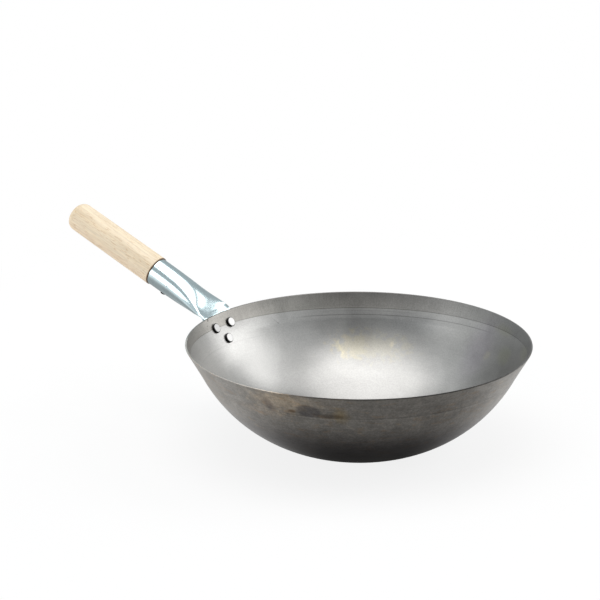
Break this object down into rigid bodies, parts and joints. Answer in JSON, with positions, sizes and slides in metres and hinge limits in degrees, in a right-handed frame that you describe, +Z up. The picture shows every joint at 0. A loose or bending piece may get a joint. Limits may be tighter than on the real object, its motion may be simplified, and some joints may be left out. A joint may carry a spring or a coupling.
{
  "type": "carbon steel wok",
  "caption": "Spun steel wok with a flat base and a long handle: a socket tube, pressed flat and riveted under the rim, that holds a turned wooden grip.",
  "frame": {"origin": "centre of the underside of the flat base, on the surface that the wok stands on", "axes": "+Z up through the bowl's mouth, -X from the bowl towards the end of the handle, +Y to the left when looking along +X"},
  "size_m": [0.5436, 0.3554, 0.2011],
  "materials": {
    "carbon_steel": "bare spun steel, satin, with fine turning lines and brown tarnish outside",
    "plated_steel": "bright zinc plating",
    "rivet_steel": "plain bright steel",
    "pale_wood": "turned pale hardwood under a thin clear lacquer",
    "screw_steel": "blackened steel"
  },
  "bodies": {
    "root": {"wok_bowl": "carbon_steel", "handle_socket": "plated_steel", "handle_rivets": "rivet_steel", "wooden_grip": "pale_wood", "grip_screw": "screw_steel"}
  },
  "joints": []
}
